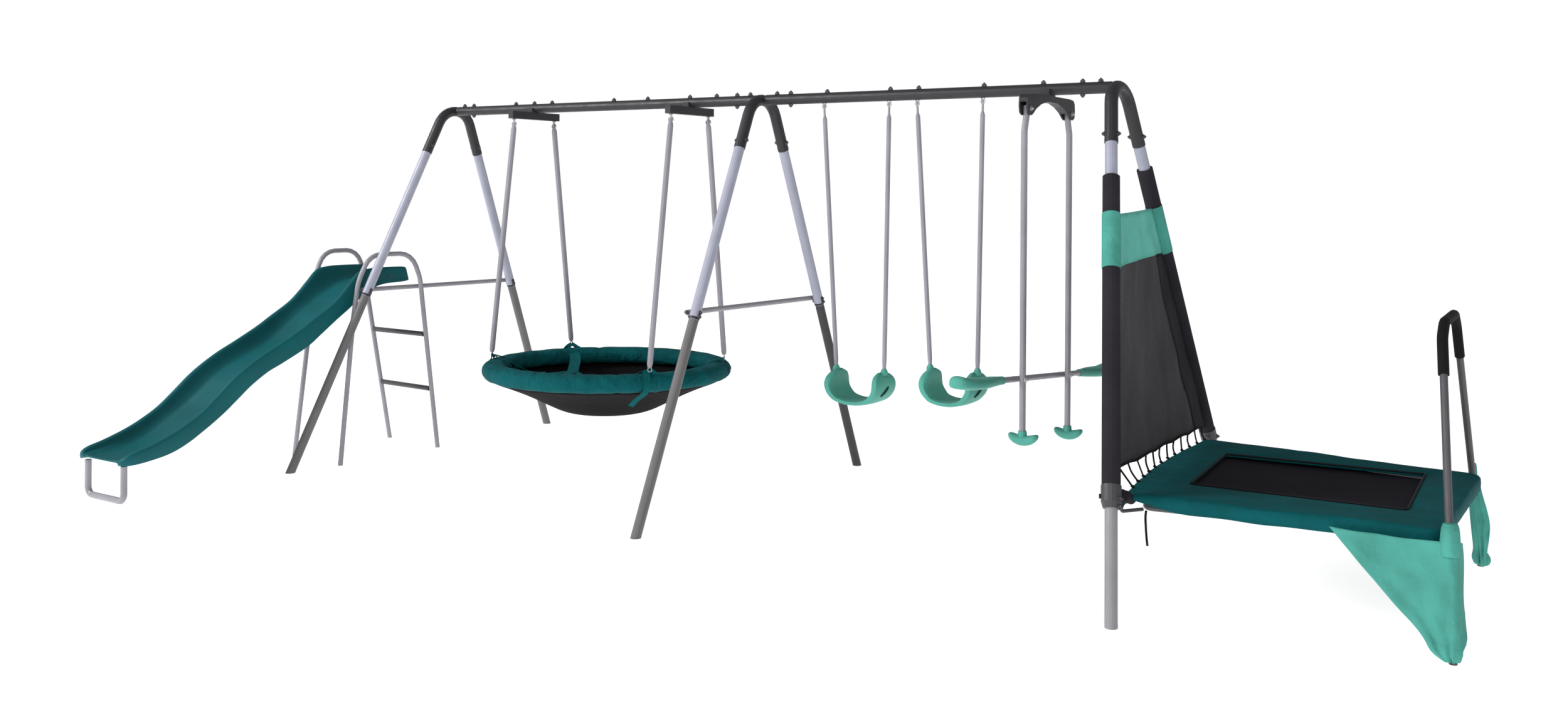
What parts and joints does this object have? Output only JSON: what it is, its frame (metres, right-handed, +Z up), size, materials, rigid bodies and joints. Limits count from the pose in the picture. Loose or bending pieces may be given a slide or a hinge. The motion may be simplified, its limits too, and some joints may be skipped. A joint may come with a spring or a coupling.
{
  "type": "backyard swing set with slide and small trampoline",
  "caption": "Metal swing set with saucer swing, sling swings, glider, wave slide with ladder, and a padded corner trampoline with handle.",
  "frame": {"origin": "centre of the footprint at ground level", "axes": "+X along the top beam from the slide to the trampoline, +Z up, -Y the side the slide exits on"},
  "size_m": [5.5543, 2.7002, 1.8558],
  "materials": {
    "charcoal_paint": "semi-gloss",
    "lavender_paint": "semi-gloss",
    "taupe_paint": "semi-gloss",
    "grey_paint": "semi-gloss",
    "rope_sleeve": "satin",
    "teal_plastic": "satin",
    "mint_plastic": "satin",
    "teal_fabric": "coated cloth",
    "mint_fabric": "woven",
    "black_fabric": "woven",
    "charcoal_fabric": "woven",
    "black_foam": "matte foam"
  },
  "bodies": {
    "stand": {"apex_left": "charcoal_paint", "apex_middle": "charcoal_paint", "apex_right": "charcoal_paint", "beam_left": "charcoal_paint", "beam_right": "charcoal_paint", "saucer_bracket_left": "charcoal_paint", "saucer_bracket_right": "charcoal_paint", "glider_bracket": "charcoal_paint", "leg_collar_near": "charcoal_paint", "leg_collar_far": "charcoal_paint", "slide_rung_upper": "charcoal_paint", "slide_rung_lower": "charcoal_paint", "trampoline_frame": "charcoal_paint", "trampoline_handle": "charcoal_paint", "upper_leg_left_near": "lavender_paint", "lower_leg_left_near": "taupe_paint", "upper_leg_left_far": "lavender_paint", "lower_leg_left_far": "taupe_paint", "upper_leg_middle_near": "lavender_paint", "lower_leg_middle_near": "taupe_paint", "upper_leg_middle_far": "lavender_paint", "lower_leg_middle_far": "taupe_paint", "upper_leg_right_near": "lavender_paint", "lower_leg_right_near": "taupe_paint", "upper_leg_right_far": "lavender_paint", "lower_leg_right_far": "taupe_paint", "crossbar_left": "grey_paint", "crossbar_middle": "grey_paint", "slide_foot": "grey_paint", "slide_hoop_inner": "grey_paint", "slide_hoop_outer": "grey_paint", "slide_bed": "teal_plastic", "trampoline_pad": "teal_fabric", "corner_cloth_near": "mint_fabric", "corner_cloth_far": "mint_fabric", "trampoline_mat": "black_fabric", "hanging_strap": "black_fabric", "net_panel": "charcoal_fabric", "leg_sleeve_near": "charcoal_fabric", "leg_sleeve_far": "charcoal_fabric", "handle_grip": "black_foam"},
    "sling_one": {"sling_rope_one_left": "rope_sleeve", "sling_rope_one_right": "rope_sleeve", "sling_seat_one": "mint_plastic"},
    "sling_two": {"sling_rope_two_left": "rope_sleeve", "sling_rope_two_right": "rope_sleeve", "sling_seat_two": "mint_plastic"},
    "saucer_near_ropes": {"saucer_rope_left_near": "rope_sleeve", "saucer_rope_right_near": "rope_sleeve"},
    "saucer_far_ropes": {"saucer_rope_left_far": "rope_sleeve", "saucer_rope_right_far": "rope_sleeve"},
    "saucer": {"saucer_rim_pad": "teal_fabric", "saucer_bowl": "black_fabric"},
    "glider_near": {"glider_arm_near": "grey_paint", "glider_peg_near": "mint_plastic"},
    "glider_far": {"glider_arm_far": "grey_paint", "glider_peg_far": "mint_plastic"},
    "glider_beam": {"glider_bar": "grey_paint", "glider_seat_near": "mint_plastic", "glider_seat_far": "mint_plastic"}
  },
  "joints": [
    {"name": "sling_one_swing", "type": "hinge", "parent": "stand", "child": "sling_one", "pos_m": [0.322, 0.434, 1.785], "axis": [1, 0, 0], "range_deg": [-40, 40]},
    {"name": "sling_two_swing", "type": "hinge", "parent": "stand", "child": "sling_two", "pos_m": [0.776, 0.434, 1.785], "axis": [1, 0, 0], "range_deg": [-40, 40]},
    {"name": "saucer_near_swing", "type": "hinge", "parent": "stand", "child": "saucer_near_ropes", "pos_m": [-1.128, 0.287, 1.738], "axis": [1, 0, 0], "range_deg": [-30, 30]},
    {"name": "saucer_far_swing", "type": "hinge", "parent": "stand", "child": "saucer_far_ropes", "pos_m": [-1.128, 0.581, 1.738], "axis": [1, 0, 0], "range_deg": [-30, 30]},
    {"name": "saucer_tilt", "type": "hinge", "parent": "saucer_near_ropes", "child": "saucer", "pos_m": [-1.128, 0.1415, 0.596], "axis": [1, 0, 0], "range_deg": [-16, 16]},
    {"name": "glider_near_swing", "type": "hinge", "parent": "stand", "child": "glider_near", "pos_m": [1.189, 0.219, 1.742], "axis": [1, 0, 0], "range_deg": [-25, 25]},
    {"name": "glider_far_swing", "type": "hinge", "parent": "stand", "child": "glider_far", "pos_m": [1.189, 0.649, 1.742], "axis": [1, 0, 0], "range_deg": [-25, 25]},
    {"name": "glider_beam_pivot", "type": "hinge", "parent": "glider_near", "child": "glider_beam", "pos_m": [1.189, 0.199, 0.684], "axis": [1, 0, 0], "range_deg": [-25, 25]}
  ],
  "couplings": [
    {"joint": "saucer_far_swing", "follows": "saucer_near_swing", "ratio": 1},
    {"joint": "saucer_tilt", "follows": "saucer_near_swing", "ratio": -0.4914},
    {"joint": "glider_far_swing", "follows": "glider_near_swing", "ratio": 0.9706},
    {"joint": "glider_beam_pivot", "follows": "glider_near_swing", "ratio": -0.9135}
  ]
}
